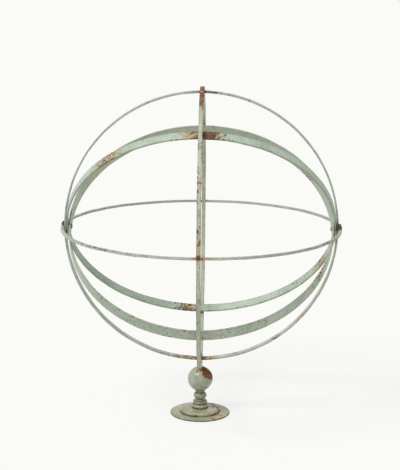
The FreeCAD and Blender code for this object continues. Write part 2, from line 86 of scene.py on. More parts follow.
def hoop_of(node, start, quarter):
    """A hoop's centre, its two in-plane directions, its axis, radii and half width."""
    points = node_points(node)
    centre = (points.min(0) + points.max(0)) / 2
    arm = points - centre
    axis = np.linalg.eigh(np.cov(arm.T))[1][:, 0]
    start = flattened(start, axis)
    quarter = flattened(quarter, axis)
    axis = np.cross(start, quarter)
    radial = np.linalg.norm(arm - np.outer(arm @ axis, axis), axis=1)
    return {"centre": centre, "start": start, "quarter": quarter, "axis": axis,
            "inner": radial.min(), "outer": radial.max(), "half": np.abs(arm @ axis).max()}


hoops = {
    "meridian_ring": hoop_of("meridian_ring", TOP, FRONT),
    "colure_ring": hoop_of("colure_ring", TOP, RIGHT),
    "horizon_ring": hoop_of("horizon_ring", FRONT, RIGHT),
    "narrow_band": hoop_of("narrow_band", FRONT, RIGHT),
    "broad_band": hoop_of("broad_band", FRONT, RIGHT),
}
for name, hoop in hoops.items():
    tilt = math.degrees(math.asin(abs(hoop["axis"][1])))
    print(f"{name}: radius {hoop['outer'] / MM:.1f} mm, width {2 * hoop['half'] / MM:.1f} mm, "
          f"axis leans {tilt:.1f} degrees from upright")

cage_centre = hoops["horizon_ring"]["centre"]
cage_radius = hoops["colure_ring"]["outer"]

# %% [markdown]
# ## Camera
# The camera stands far back and a little above the cage: eleven cage radii away and two and a
# third above its centre, which is a long lens at about twelve degrees of elevation. It is
# turned one degree round the object, so the front half of the meridian ring does not quite
# hide the back half, and it rolls by less than half a degree.

# %% Set up the camera
CAMERA_DISTANCE = 11.0
CAMERA_HEIGHT = 2.338
CAMERA_TURN = math.radians(1.0)
CAMERA_ROLL = math.radians(0.4)
LENS = 118.0
SENSOR = 36.0
PICTURE = (400, 470)
CENTRE_IN_PICTURE = (201.2, 227.4)

camera_data = bpy.data.cameras.new("camera")
camera = bpy.data.objects.new("camera", camera_data)
bpy.context.scene.collection.objects.link(camera)
bpy.context.scene.camera = camera
camera_data.lens = LENS
camera_data.sensor_width = SENSOR
camera_data.clip_end = 50.0
camera_data.dof.use_dof = False

stand_off = np.array([math.sin(CAMERA_TURN) * CAMERA_DISTANCE,
                      -math.cos(CAMERA_TURN) * CAMERA_DISTANCE, CAMERA_HEIGHT])
eye = cage_centre + stand_off * cage_radius
focal = LENS / SENSOR * max(PICTURE)
off_across = (CENTRE_IN_PICTURE[0] - PICTURE[0] / 2) / focal
off_down = (CENTRE_IN_PICTURE[1] - PICTURE[1] / 2) / focal


def unit(vector):
    """A vector at length one."""
    return vector / np.linalg.norm(vector)


to_cage = unit(-stand_off)
across = unit(np.cross(to_cage, TOP))
forward = unit(to_cage - off_across * across + off_down * np.cross(across, to_cage))
across = unit(np.cross(forward, TOP))
upward = np.cross(across, forward)
rolled = math.cos(CAMERA_ROLL) * across + math.sin(CAMERA_ROLL) * upward
upward = np.cross(rolled, forward)


def placed_at(place, across, upward, backward):
    """Matrix that puts an object at a place, with its own X, Y and Z along three directions."""
    matrix = np.eye(4)
    matrix[:3] = np.column_stack([across, upward, backward, place])
    return Matrix(matrix.tolist())


camera.matrix_world = placed_at(eye, rolled, upward, -forward)
print("camera at", np.round(eye, 3), "focal length", LENS, "mm")

# %% [markdown]
# ## Surfaces from arrays
# Every new surface here is a grid of points: rows follow the piece and columns go round its
# section. The rows of a hoop close on themselves; a weld bead's rows stop, so its two ends are
# closed with a fan. Blender gets the whole mesh in a few array calls, and any value that
# belongs to a point (how rusty, how near an edge) goes along as a named attribute.

# %% Grid of points to a closed mesh
def grid_faces(rows, columns, closed):
    """Quads between neighbouring rows and columns; the columns always close, rows if asked."""
    row = np.arange(rows if closed else rows - 1)[:, None]
    column = np.arange(columns)[None, :]
    after_row = (row + 1) % rows
    after_column = (column + 1) % columns
    corners = [row * columns + column, row * columns + after_column,
               after_row * columns + after_column, after_row * columns + column]
    return np.stack([np.broadcast_to(c, (len(row), columns)) for c in corners], -1).reshape(-1, 4)


def end_fans(rows, columns):
    """Triangles that close the first and the last row onto one extra point each."""
    column = np.arange(columns)
    after = (column + 1) % columns
    first_tip, last_tip = rows * columns, rows * columns + 1
    last = (rows - 1) * columns
    first = np.stack([after, column, np.full(columns, first_tip)], -1)
    return np.vstack([first, np.stack([last + column, last + after,
                                       np.full(columns, last_tip)], -1)])


def enclosed_volume(points, triangles):
    """Signed volume: a sixth of the sum of each triangle's triple product."""
    a, b, c = (points[triangles[:, k]] for k in range(3))
    return np.einsum("ij,ij->i", a, np.cross(b, c)).sum() / 6


def surface(name, grid, closed=True, capped=True, values=None):
    """Make a mesh object of a grid of points (rows, columns, 3), faces pointing outwards.

    Rows that aren't closed get a fan over each end, unless the piece is an open plate.
    """
    rows, columns = grid.shape[:2]
    points = grid.reshape(-1, 3)
    quads = grid_faces(rows, columns, closed)
    fans = np.empty((0, 3), int)
    values = dict(values or {})
    if capped and not closed:
        points = np.vstack([points, grid[0].mean(0), grid[-1].mean(0)])
        fans = end_fans(rows, columns)
        values = {key: np.append(field.ravel(), [field[0].mean(), field[-1].mean()])
                  for key, field in values.items()}
    triangles = np.vstack([quads[:, [0, 1, 2]], quads[:, [0, 2, 3]], fans])
    if capped and enclosed_volume(points - points.mean(0), triangles) < 0:
        quads, fans = quads[:, ::-1], fans[:, ::-1]

    mesh = bpy.data.meshes.new(name)
    loops = np.concatenate([quads.ravel(), fans.ravel()])
    totals = np.concatenate([np.full(len(quads), 4), np.full(len(fans), 3)])
    mesh.vertices.add(len(points))
    mesh.vertices.foreach_set("co", points.ravel())
    mesh.loops.add(len(loops))
    mesh.loops.foreach_set("vertex_index", loops)
    mesh.polygons.add(len(totals))
    mesh.polygons.foreach_set("loop_start", np.cumsum(totals) - totals)
    mesh.polygons.foreach_set("use_smooth", np.ones(len(totals), bool))
    mesh.update(calc_edges=True)
    mesh.validate()
    for key, field in values.items():
        layer = mesh.attributes.new(key, "FLOAT", "POINT")
        layer.data.foreach_set("value", np.asarray(field, float).ravel())
    piece = bpy.data.objects.new(name, mesh)
    bpy.context.scene.collection.objects.link(piece)
    print(f"{name}: {len(points)} points, {len(totals)} faces")
    return piece


# %% [markdown]
# ## Unevenness
# Bars bent by hand and castings filed by hand are never quite true. One field of smooth
# unevenness serves all of them: the sum of a few plane waves with seeded directions, about
# one wavelength long, evaluated at each point in space. Because it is a function of place,
# it closes on itself round a hoop without any special care.

# %% Smooth unevenness as a sum of waves
WAVES = 24


def unevenness(points, wavelength, seed):
    """Smooth noise of about unit size: the mean of cosines of (direction . point + phase)."""
    random = np.random.default_rng(seed)
    directions = random.normal(size=(WAVES, 3))
    directions /= np.linalg.norm(directions, axis=1, keepdims=True)
    numbers = 2 * math.pi / wavelength * random.uniform(0.6, 1.5, WAVES)
    phases = random.uniform(0, 2 * math.pi, WAVES)
    waves = np.cos(points @ (directions * numbers[:, None]).T + phases)
    return waves.sum(-1) * math.sqrt(2 / WAVES)


def nudged(points, size, wavelength, seed):
    """Points moved by an uneven field of its own along each of the three axes."""
    shift = [unevenness(points, wavelength, seed + k) for k in range(3)]
    return points + size * np.stack(shift, -1)


def smooth_step(low, high, amount):
    """Zero below low, one above high, and an S-shaped ramp between them."""
    part = np.clip((amount - low) / (high - low), 0, 1)
    return part * part * (3 - 2 * part)


print("unevenness from", WAVES, "waves")


# %% [markdown]
# ## The bar of a hoop
# A hoop is one rounded rectangle carried round a circle. The rectangle's corners are quarter
# circles, and each long side gets enough points to take the unevenness. Where two rings are
# let into each other, the bar is cut down between two angles: the radius there is limited,
# and the grid has two rows a hair apart at each end of the cut, so that its walls stand up.

# %% Section of a bar and its sweep round a hoop
CORNER_POINTS = 5
EASING = 0.7 * MM
HOOP_ROWS = 720
HAIR = 1e-6


def bar_section(half_depth, half_width, rounding, side_points):
    """Loop of (out, aside) round a rectangle with quarter-circle corners."""
    quarter = np.linspace(0, math.pi / 2, CORNER_POINTS)
    arc = rounding * np.stack([np.cos(quarter), np.sin(quarter)], -1)
    ways = np.linspace(0, 1, side_points + 2)[1:-1, None]
    loop = []
    for turn in range(4):
        spin = turn * math.pi / 2
        matrix = np.array([[math.cos(spin), -math.sin(spin)], [math.sin(spin), math.cos(spin)]])
        reach = np.array([half_depth, half_width]) - rounding
        corner = [(1, 1), (-1, 1), (-1, -1), (1, -1)][turn]
        loop.append(reach * corner + arc @ matrix.T)
    sides = [loop[k][-1] * (1 - ways) + loop[(k + 1) % 4][0] * ways for k in range(4)]
    return np.vstack([part for pair in zip(loop, sides) for part in pair])


def angle_gap(angles, middle):
    """How far each angle is from a middle, round the shorter way, in radians."""
    return np.abs((angles - middle + math.pi) % (2 * math.pi) - math.pi)


def hoop_angles(cuts):
    """Even angles round the hoop, with two more rows a hair apart at each end of a cut."""
    angles = np.linspace(-math.pi, math.pi, HOOP_ROWS, endpoint=False)
    for cut in cuts:
        for end in (cut["middle"] - cut["half"], cut["middle"] + cut["half"]):
            angles = np.append(angles, [end - HAIR, end + HAIR])
    return np.unique(np.round((angles + math.pi) % (2 * math.pi) - math.pi, 9))


def hoop_grid(hoop, cuts, side_points):
    """Grid of a hoop: centre + radius * (cos a * start + sin a * quarter) + aside * axis.

    Returns the grid, each row's angle and each column's place (out, aside) in the section.
    """
    half_depth = (hoop["outer"] - hoop["inner"]) / 2
    section = bar_section(half_depth, hoop["half"], EASING, side_points)
    angles = hoop_angles(cuts)
    radius = np.broadcast_to(hoop["inner"] + half_depth + section[:, 0],
                             (len(angles), len(section))).copy()
    for cut in cuts:
        inside = angle_gap(angles, cut["middle"]) < cut["half"]
        limit = np.maximum if cut["from_inside"] else np.minimum
        radius[inside] = limit(radius[inside], cut["radius"])
    out = np.outer(np.cos(angles), hoop["start"]) + np.outer(np.sin(angles), hoop["quarter"])
    grid = hoop["centre"] + radius[..., None] * out[:, None]
    return grid + section[:, 1][None, :, None] * hoop["axis"], angles, section


# %% [markdown]
# ## Where the paint has failed
# Rust starts where a joint holds water, where a bar was welded and along sharp edges. Each
# hoop gets a list of patches: an angle in degrees, how far the patch reaches either way, and
# how strong it is. The values are stored on the points, and the paint's material later breaks
# their soft outlines up with noise. A second value, for chips, reaches further along the bar,
# and a third says how near a point is to the bar's corners, where paint wears through first.

# %% Patches of rust and chips round a hoop
def patches_along(angles, patches):
    """Sum of bell-shaped patches (middle, reach, strength): strength * exp(-(gap / reach)^2)."""
    total = np.zeros_like(angles)
    for middle, reach, strength in patches:
        gap = np.degrees(angle_gap(angles, math.radians(middle)))
        total += strength * np.exp(-(gap / reach) ** 2)
    return total


EDGE_REACH = 1.8 * MM
EDGE_STRENGTH = 0.65


def edge_nearness(section):
    """How near each column is to a corner: strength * exp(-(distance / reach)^2)."""
    reach = np.abs(section).max(0)
    corner_gap = np.linalg.norm(reach - np.abs(section), axis=1)
    return EDGE_STRENGTH * np.exp(-(corner_gap / EDGE_REACH) ** 2)


SEAM_RISE = 0.45 * MM
SEAM_REACH = 3.0 * MM
SEAM_LUMPS = 7 * MM
BENDS = (0.16 * MM, 60 * MM)
DENTS = (0.05 * MM, 9 * MM)


def welded(grid, hoop, angles, seams):
    """Raise a lumpy ridge across the bar at each seam: rise * exp(-(distance / reach)^2)."""
    middle = (hoop["inner"] + hoop["outer"]) / 2
    arm = grid - hoop["centre"]
    aside = (arm @ hoop["axis"])[..., None] * hoop["axis"]
    reach = np.linalg.norm(arm - aside, axis=-1, keepdims=True)
    outward = np.sign(reach - middle) * (arm - aside) / reach
    for seam in seams:
        away = angle_gap(angles, math.radians(seam)) * middle
        ridge = np.exp(-(away / SEAM_REACH) ** 2)[:, None] * SEAM_RISE
        lumpy = np.clip(1 + 0.5 * unevenness(grid, SEAM_LUMPS, 3), 0.2, 2.0)
        grid = grid + outward * (ridge * lumpy)[..., None]
    return grid


def make_hoop(node, body, rust, chips, side_points, seed, cuts=(), seams=()):
    """The visible bar of one hoop, standing for its CAD node."""
    grid, angles, section = hoop_grid(hoops[node], cuts, side_points)
    shape = grid.shape[:2]
    grid = welded(grid, hoops[node], angles, seams)
    grid = nudged(grid, *BENDS, seed)
    grid = nudged(grid, *DENTS, seed + 7)
    values = {
        "rust": np.broadcast_to(patches_along(angles, rust)[:, None], shape),
        "chips": np.broadcast_to(patches_along(angles, chips)[:, None], shape),
        "edge": np.broadcast_to(edge_nearness(section), shape),
    }
    piece = surface(f"{node}_bar", grid, values=values)
    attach(piece, body)
    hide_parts(node)
    return piece


# %% [markdown]
# ## The five hoops
# The horizon ring is let into the outer face of the meridian ring at the front and the back:
# half of each bar is cut away. At its two sides its inner face is hollowed to clear the domed
# heads of the pivot pins. Both cuts are read from the frame: the pin's head, the bar's width.

# %% Cuts, then the bars
pin_low, pin_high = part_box("right_pivot_pin")
meridian, horizon = hoops["meridian_ring"], hoops["horizon_ring"]
LAP_DEPTH = 4.0 * MM
HEAD_CLEARANCE = 0.3 * MM
lap_radius = meridian["inner"] + LAP_DEPTH


def lap(middle, width, radius, from_inside):
    """One half-lap, as wide as the bar that crosses it."""
    return {"middle": math.radians(middle), "half": width / radius,
            "radius": lap_radius, "from_inside": from_inside}


meridian_cuts = [lap(side, horizon["half"], meridian["outer"], False) for side in (90, -90)]
horizon_cuts = [lap(side, meridian["half"], horizon["inner"], True) for side in (0, 180)]
for side in (90, -90):
    half_head = (pin_high.z - pin_low.z) / 2 + HEAD_CLEARANCE
    horizon_cuts.append({"middle": math.radians(side), "half": half_head / horizon["inner"],
                         "radius": pin_high.x + HEAD_CLEARANCE, "from_inside": True})

bars = {
    "meridian_ring": make_hoop(
        "meridian_ring", "cage", cuts=meridian_cuts, side_points=5, seed=11,
        rust=[(2, 14, 0.70), (17, 9, 0.50), (46, 2, 0.25), (60, 5, 0.30), (79, 2, 0.25),
              (84, 4, 0.48), (89, 2.0, 0.6), (158, 12, 0.2), (-2, 6, 0.3)],
        chips=[(22, 6, 1.6), (47, 5, 1.5), (62, 8, 1.9), (79, 4, 1.5), (105, 25, 0.8),
               (180, 60, 0.5)]),
    "colure_ring": make_hoop(
        "colure_ring", "cage", side_points=6, seed=23,
        rust=[(1, 3.0, 0.66), (-174, 8, 0.48), (177, 4.5, 0.52), (90, 1.8, 0.25),
              (-90, 1.8, 0.2), (20, 1.0, 0.5), (57, 1.0, 0.45), (130, 1.2, 0.45)],
        chips=[(0, 180, 0.5), (-173, 9, 1.6), (165, 4, 1.8), (146, 3, 2.2), (2, 7, 2.4)]),
    "horizon_ring": make_hoop(
        "horizon_ring", "cage", cuts=horizon_cuts, side_points=4, seed=37,
        rust=[(0, 3.6, 0.72), (180, 2.5, 0.5), (64, 5, 0.36)],
        chips=[(-40, 22, 1.7), (58, 14, 1.6), (100, 8, 1.2), (-100, 8, 1.0), (180, 50, 0.8)]),
    "narrow_band": make_hoop(
        "narrow_band", "narrow_band", side_points=9, seed=41,
        rust=[(3.5, 5.0, 0.72), (-4.0, 3.4, 0.50), (-41, 6.5, 0.53), (-174, 3.8, 0.64),
              (115, 4.0, 0.56), (109, 4, 0.34)],
        chips=[(4, 8, 1.6), (-42, 8, 1.5), (0, 70, 0.7), (110, 30, 1.2), (-172, 8, 1.6),
               (180, 60, 0.7)], seams=(-172, 3)),
    "broad_band": make_hoop(
        "broad_band", "broad_band", side_points=12, seed=53,
        rust=[(180, 1.6, 0.3), (124, 5, 0.3), (62, 6, 0.26)],
        chips=[(0, 75, 1.2), (180, 60, 0.6), (29, 0.7, 0.9), (-30, 0.7, 1.0), (-45, 0.7, 1.0),
               (62, 5, 1.6), (124, 5, 1.6)], seams=(176,)),
}

# %% [markdown]
# ## The turned pedestal
# Foot, step, collar, bead and ball were cast and turned. Each is one closed outline carried
# round the upright axis. An outline is a list of corners; the way to a corner is straight, or
# an arc that swells out by a given height. Corners are eased a little, as paint does.

# %% Outlines and turned surfaces
TURNED_ROWS = 300
CORNER_EASE = 0.25 * MM
TURNED_STEP = 1.6 * MM
TURNED_WOBBLE = 0.16 * MM
WOBBLE_LENGTH = 22 * MM
CHIPS_ANYWHERE = 0.3
CHIPS_AT_EDGES = 2.7
ALL_ROUND = 9999


def swelling_way(start, end, swell, step):
    """Points from start to end: the straight way plus swell * 4 s (1 - s) to its right."""
    way = end - start
    length = np.hypot(*way)
    count = max(3, int(length / step))
    share = np.linspace(CORNER_EASE / length, 1 - CORNER_EASE / length, count)[:, None]
    rightward = np.array([way[1], -way[0]]) / length
    return start + share * way + swell * 4 * share * (1 - share) * rightward


def outline_points(corners, step):
    """Closed outline of (radius, height, swell) corners in metres, finely divided."""
    points = np.array([corner[:2] for corner in corners])
    return np.vstack([swelling_way(points[k - 1], points[k], corners[k][2], step)
                      for k in range(len(corners))])


def turned_grid(outline, rows):
    """Rows are angles from the front towards the right; columns are outline points."""
    angles = np.linspace(0, 2 * math.pi, rows, endpoint=False)[:, None]
    radius, height = outline[:, 0], outline[:, 1]
    flat = np.broadcast_to(height, (rows, len(outline)))
    return np.stack([radius * np.sin(angles), -radius * np.cos(angles), flat], -1)


def patches_on(grid, spots):
    """Sum of soft patches: strength * exp(-(turn gap^2 + height gap^2)^1.5).

    A patch is (degrees to the right, height in mm, both reaches, strength), and each gap is
    measured in its own reach.
    """
    turn = np.degrees(np.arctan2(grid[..., 0], -grid[..., 1]))
    height = grid[..., 2] / MM
    total = np.zeros(grid.shape[:2])
    for middle, level, wide, tall, strength in spots:
        gap = ((turn - middle + 180) % 360 - 180) / wide
        total += strength * np.exp(-(gap ** 2 + ((height - level) / tall) ** 2) ** 1.5)
    return total


# Paint darkens near each listed line: at the disc's rim as wear, and in the crevices and joints
# between pieces as painted shade.
def near_lines(outline, lines):
    """Sum of exp(-(distance / reach)^2) to each (radius, height, reach) line round a piece."""
    total = np.zeros(len(outline))
    for radius, height, reach in lines:
        away = np.hypot(outline[:, 0] / MM - radius, outline[:, 1] / MM - height)
        total += np.exp(-(away / reach) ** 2)
    return np.clip(total, 0, 1.2)


def make_turned(node, corners, spots, lines, seed, shape=None, wobble=TURNED_WOBBLE,
                step=TURNED_STEP, rows=TURNED_ROWS):
    """The visible surface of one turned piece, standing for its CAD node."""
    outline = outline_points([(r * MM, z * MM, swell * MM) for r, z, swell in corners], step)
    grid = turned_grid(outline, rows)
    # Nearness to the listed lines: mostly crevices and joints, where the darker paint is painted
    # shade.
    edge = np.broadcast_to(near_lines(outline, lines), grid.shape[:2])
    values = {"rust": patches_on(grid, spots), "edge": edge,
              "chips": CHIPS_ANYWHERE + CHIPS_AT_EDGES * edge}
    if shape is not None:
        grid = shape(grid)
    piece = surface(f"{node}_turned", nudged(grid, wobble, WOBBLE_LENGTH, seed), values=values)
    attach(piece, "stand")
    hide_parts(node)
    return piece


def span(node):
    """Lowest and highest level and the greatest radius of a node, in millimetres."""
    low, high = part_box(node)
    return low.z / MM, high.z / MM, high.x / MM


# %% [markdown]
# ## Foot and step
# The disc is thin, slightly dished towards its edge, and its rim is knocked about: small
# bites are missing from the paint and the iron, more of them on the right. Underneath, a
# recess holds the tie rod's nut, and three screw heads sit in cones sunk into the disc.

# %% Foot disc
disc_low, disc_top, disc_radius = span("foot_disc")
step_low, step_top, step_radius = span("foot_step")
RIM_THICKNESS = 3.2
RIM_ROUND = 1.1
RECESS_RADIUS = 13.0
RECESS_TOP = 10.0
ROD_BORE = 4.3
SCREW_CIRCLE = 30.0
SINK_RADIUS = 4.3
SINK_DEPTH = 2.25
SINK_FLOOR = 2.3
UNDERSIDE = 0.3 * MM
UPPER_SIDE = 1.5 * MM
RIM_REACH = 2.5
RIM_EDGE = 0.3
BITE = 0.55 * MM
KNOCK_LENGTH = 9 * MM
KNOCK_START = 0.8
KNOCK_MOST = 1.4
KNOCK_DROP = 0.25


def sunk_and_bitten(grid):
    """Three cones sunk underneath, and an uneven outer edge.

    A cone's depth is (radius - distance) * slope, and never more than the screw head's.
    """
    x, y, z = np.moveaxis(grid, -1, 0)
    below = z < UNDERSIDE
    lift = np.zeros_like(z)
    for third in range(3):
        angle = math.pi / 2 + third * 2 * math.pi / 3
        away = np.hypot(x / MM - SCREW_CIRCLE * math.cos(angle),
                        y / MM - SCREW_CIRCLE * math.sin(angle))
        slope = SINK_DEPTH / (SINK_RADIUS - SINK_FLOOR)
        lift += np.clip((SINK_RADIUS - away) * slope, 0, SINK_DEPTH) * MM
    radius = np.hypot(x, y)
    at_rim = smooth_step(disc_radius - RIM_REACH, disc_radius - RIM_EDGE, radius / MM)
    knocks = unevenness(grid * [1, 1, 0], KNOCK_LENGTH, 5) - KNOCK_START
    knocks = np.clip(knocks, 0, KNOCK_MOST)
    more_on_right = 0.7 + 0.3 * np.sign(x)
    shrink = 1 - at_rim * BITE * knocks * more_on_right / radius
    drop = at_rim * knocks * KNOCK_DROP * MM * (z > UPPER_SIDE)
    lowered = np.where(below, z + lift, z - drop)
    return np.stack([x * shrink, y * shrink, np.maximum(lowered, 0)], -1)


foot_disc = make_turned(
    "foot_disc", seed=61, shape=sunk_and_bitten, step=0.9 * MM, rows=480, wobble=0.05 * MM,
    lines=[(disc_radius, RIM_THICKNESS / 2, 2.4), (step_radius, disc_top, 2.2)],
    corners=[(RECESS_RADIUS, disc_low, 0), (disc_radius - RIM_ROUND, disc_low, 0),
             (disc_radius, RIM_ROUND, 0.3), (disc_radius, RIM_THICKNESS - RIM_ROUND, 0),
             (disc_radius - RIM_ROUND, RIM_THICKNESS, 0.3), (step_radius, disc_top, 0),
             (RECESS_RADIUS, disc_top, 0)],
    spots=[(-100, disc_top, 34, 2.2, 0.33), (32, 3.5, 13, 3, 0.5), (58, 4, 12, 3, 0.3),
           (150, disc_top, 60, 2.6, 0.36), (84, 3, 16, 4, 0.26), (0, 0.4, ALL_ROUND, 1.5, 0.16)])

# %% Collar rings and the step
COLLAR_RINGS = ((9.6, 2.6), (7.2, 1.6))
STEP_RISE = 1.0
STEP_ROUND = 5.0
collar_low, collar_top, collar_radius = span("stem_collar")
shoulder = step_top - STEP_RISE
lower_foot = collar_radius - COLLAR_RINGS[0][1]
foot_step = make_turned(
    "foot_step", seed=67, wobble=0.14 * MM,
    lines=[(step_radius, step_low, 2.4), (lower_foot, step_top, 3.0)],
    corners=[(RECESS_RADIUS, step_low, 0), (step_radius, step_low, 0),
             (step_radius, shoulder - STEP_ROUND, 0),
             (step_radius - STEP_ROUND, shoulder, 1.46), (collar_radius, step_top, 0),
             (ROD_BORE, step_top, 0), (ROD_BORE, RECESS_TOP, 0),
             (RECESS_RADIUS, RECESS_TOP, 0)],
    spots=[(0, step_low, ALL_ROUND, 1.4, 0.4), (92, 13, 50, 6, 0.17),
           (140, 13, 70, 4, 0.38), (-120, 12, 30, 4, 0.34), (-75, 12, 20, 3, 0.25)])

# %% [markdown]
# ## Collar, bead and ball
# The collar is two soft rings with a groove between them, where rust gathers. The bead has a
# hollow waist below and a neck above. The ball is bored from both ends for its two rods, so
# its outline goes up the outside and back down the bores.

# %% Collar
GROOVE_RADIUS = 16.0
COLLAR_TOP_RADIUS = 15.9
ring_low = collar_low + COLLAR_RINGS[0][0]
ring_high = collar_top - COLLAR_RINGS[1][0]
stem_collar = make_turned(
    "stem_collar", seed=71, step=0.8 * MM, wobble=0.12 * MM,
    lines=[(lower_foot, collar_low, 2.4), (GROOVE_RADIUS, (ring_low + ring_high) / 2, 2.0),
           (COLLAR_TOP_RADIUS, collar_top, 1.2)],
    corners=[(ROD_BORE, collar_low, 0), (lower_foot, collar_low, 0),
             (lower_foot, ring_low, COLLAR_RINGS[0][1]), (GROOVE_RADIUS, ring_low, 0),
             (GROOVE_RADIUS, ring_high, 0), (COLLAR_TOP_RADIUS, ring_high, 0),
             (COLLAR_TOP_RADIUS, collar_top, COLLAR_RINGS[1][1]), (ROD_BORE, collar_top, 0)],
    spots=[(0, collar_low, ALL_ROUND, 1.5, 0.7), (0, (ring_low + ring_high) / 2, ALL_ROUND, 1.4, 0.3),
           (75, 18, 22, 7, 0.4), (-150, 20, 40, 6, 0.35), (80, 30, 20, 4, 0.35)])

# %% Bead
WAIST_RADIUS = 10.6
WAIST_FLARE = 3.0
WAIST_HEIGHT = 5.4
BEAD_HEIGHT = 14.6
BEAD_SWELL = 4.3
NECK_RADIUS = 11.3
SEAT_RADIUS = 12.5
bead_low, bead_top, bead_radius = span("stem_bead")
swell_foot = bead_radius - BEAD_SWELL
neck_low = bead_low + WAIST_HEIGHT + BEAD_HEIGHT
stem_bead = make_turned(
    "stem_bead", seed=73, step=0.8 * MM, wobble=0.12 * MM,
    lines=[(WAIST_RADIUS + WAIST_FLARE, bead_low, 2.2), (swell_foot, bead_low + WAIST_HEIGHT, 1.8),
           (swell_foot, neck_low, 1.8), (SEAT_RADIUS, bead_top, 1.8)],
    corners=[(ROD_BORE, bead_low, 0), (WAIST_RADIUS + WAIST_FLARE, bead_low, 0),
             (WAIST_RADIUS, bead_low + WAIST_FLARE, -0.6),
             (swell_foot, bead_low + WAIST_HEIGHT, 0), (swell_foot, neck_low, BEAD_SWELL),
             (NECK_RADIUS, neck_low + (bead_top - neck_low) / 3, 0),
             (SEAT_RADIUS, bead_top, 0), (ROD_BORE, bead_top, 0)],
    spots=[(0, bead_low + 4, ALL_ROUND, 2.4, 0.42), (0, neck_low + 2.5, ALL_ROUND, 2.4, 0.26),
           (80, 44, 22, 8, 0.42), (-170, 45, 30, 7, 0.4)])

# %% Ball
STUD_BORE = 3.05
BALL_STEPS = 60
ball_low, ball_high, ball_radius = span("ball")
ball_middle = ball_low + math.sqrt(ball_radius ** 2 - SEAT_RADIUS ** 2)
first_slope = math.asin((ball_low - ball_middle) / ball_radius)
last_slope = math.asin((ball_high - ball_middle) / ball_radius)
slopes = np.linspace(first_slope, last_slope, BALL_STEPS)
ball_skin = [(ball_radius * math.cos(slope), ball_middle + ball_radius * math.sin(slope), 0)
             for slope in slopes]
ball = make_turned(
    "ball", seed=79, step=1.5 * MM, wobble=0.12 * MM,
    lines=[(SEAT_RADIUS, ball_low, 3.0), (0, ball_high, 9.0)],
    corners=[(ROD_BORE, ball_middle, 0), (ROD_BORE, ball_low, 0), *ball_skin,
             (STUD_BORE, ball_high, 0), (STUD_BORE, ball_middle, 0)],
    spots=[(58, 105, 46, 15, 0.72), (84, 90, 24, 14, 0.58), (12, 113, 60, 5, 0.55),
           (-22, 109, 9, 5, 0.4), (170, 104, 40, 14, 0.5), (110, 76, 30, 10, 0.3),
           (45, 98, 50, 20, 0.12)])

# %% [markdown]
# ## Weld and braze
# Where the horizon ring passes the colure ring at either side, the two are joined by lumpy
# brazing above and below the horizon ring. Smaller beads hold the half-laps at the front and
# the back. A bead is an egg with a seeded uneven skin, made as rows along its long axis.

# %% Lumpy beads
LUMP_ROWS = 40
LUMP_COLUMNS = 48
BAND_ROOM = 0.3 * MM
POLE_GAP = 0.06
COARSE = (0.13, 7 * MM)
FINE = (0.05, 2.5 * MM)
BEAD_RUST = -0.2
BEAD_CHIPS = 0.5


def lump_grid(centre, reaches, long_axis, seed):
    """Egg: reach along one axis times cos t, the other two times sin t, plus unevenness."""
    slope = np.linspace(POLE_GAP, math.pi - POLE_GAP, LUMP_ROWS)[:, None]
    round_it = np.linspace(0, 2 * math.pi, LUMP_COLUMNS, endpoint=False)[None, :]
    along = np.broadcast_to(np.cos(slope), (LUMP_ROWS, LUMP_COLUMNS))
    others = [np.sin(slope) * np.cos(round_it), np.sin(slope) * np.sin(round_it)]
    others.insert(long_axis, along)
    egg = np.stack(others, -1) * reaches
    bumps = 1 + COARSE[0] * unevenness(egg, COARSE[1], seed)
    bumps = bumps + FINE[0] * unevenness(egg, FINE[1], seed + 1)
    return centre + egg * np.clip(bumps, 0.6, 1.35)[..., None]


def make_lump(name, centre, reaches, long_axis, seed, rust=BEAD_RUST):
    """One bead on the cage; beads at the sides are cut flat where the bands swing past."""
    grid = lump_grid(np.array(centre), np.array(reaches) * MM, long_axis, seed)
    shape = grid.shape[:2]
    values = {"rust": np.full(shape, rust), "chips": np.full(shape, BEAD_CHIPS),
              "edge": np.zeros(shape)}
    side = np.sign(centre[0])
    clear = hoops["colure_ring"]["inner"] + BAND_ROOM
    if abs(centre[0]) > clear:
        grid[..., 0] = side * np.maximum(side * grid[..., 0], clear)
    piece = surface(name, grid, closed=False, values=values)
    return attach(piece, "cage")


level = cage_centre[2]
lumps = []
# Side of the cage, place from the colure ring (outwards, backwards, up) and reaches, in mm.
BRAZE = {
    "left_upper": (-1, (2.4, 5.0, 4.6), (4.2, 9.0, 6.0)),
    "left_lower": (-1, (2.6, 0.0, -6.0), (3.4, 7.0, 4.6)),
    "right_upper": (1, (1.6, -9.0, 3.4), (5.4, 15.0, 10.0)),
    "right_lower": (1, (2.6, 0.0, -6.0), (3.4, 7.0, 4.6)),
}
WELD_ASIDE = 0.3 * MM
WELD_OUT = 1.0 * MM
WELD_REACHES = (1.3, 3.4, 2.9)
WELD_RUST = 0.5

for place, (sign, (out, along, up), reaches) in BRAZE.items():
    at = (sign * (cage_radius + out * MM), along * MM, level + up * MM)
    lumps.append(make_lump(f"{place}_braze", at, reaches, 1, 91 + len(lumps)))
for side, sign in (("front", -1), ("rear", 1)):
    for place, across_by in (("left", -1), ("right", 1)):
        at = (across_by * (meridian["half"] + WELD_ASIDE), sign * (lap_radius + WELD_OUT), level)
        lumps.append(make_lump(f"{side}_{place}_weld", at, WELD_REACHES, 2, 101 + len(lumps),
                               rust=WELD_RUST))
print(len(lumps), "beads of weld and braze")

# %% [markdown]
# ## A small way to write materials
# A material is a net of nodes, and written out link by link it is hard to read. The class
# below adds a node and gives back its output, so that a recipe reads like a calculation.
# Colours are given as they look on a screen and turned into linear light.

# %% Recipe helpers
def screen(red, green, blue):
    """Screen values from 0 to 255 as linear colour."""
    shade = np.array([red, green, blue]) / 255
    linear = np.where(shade <= 0.04045, shade / 12.92, ((shade + 0.055) / 1.055) ** 2.4)
    return (*map(float, linear), 1.0)


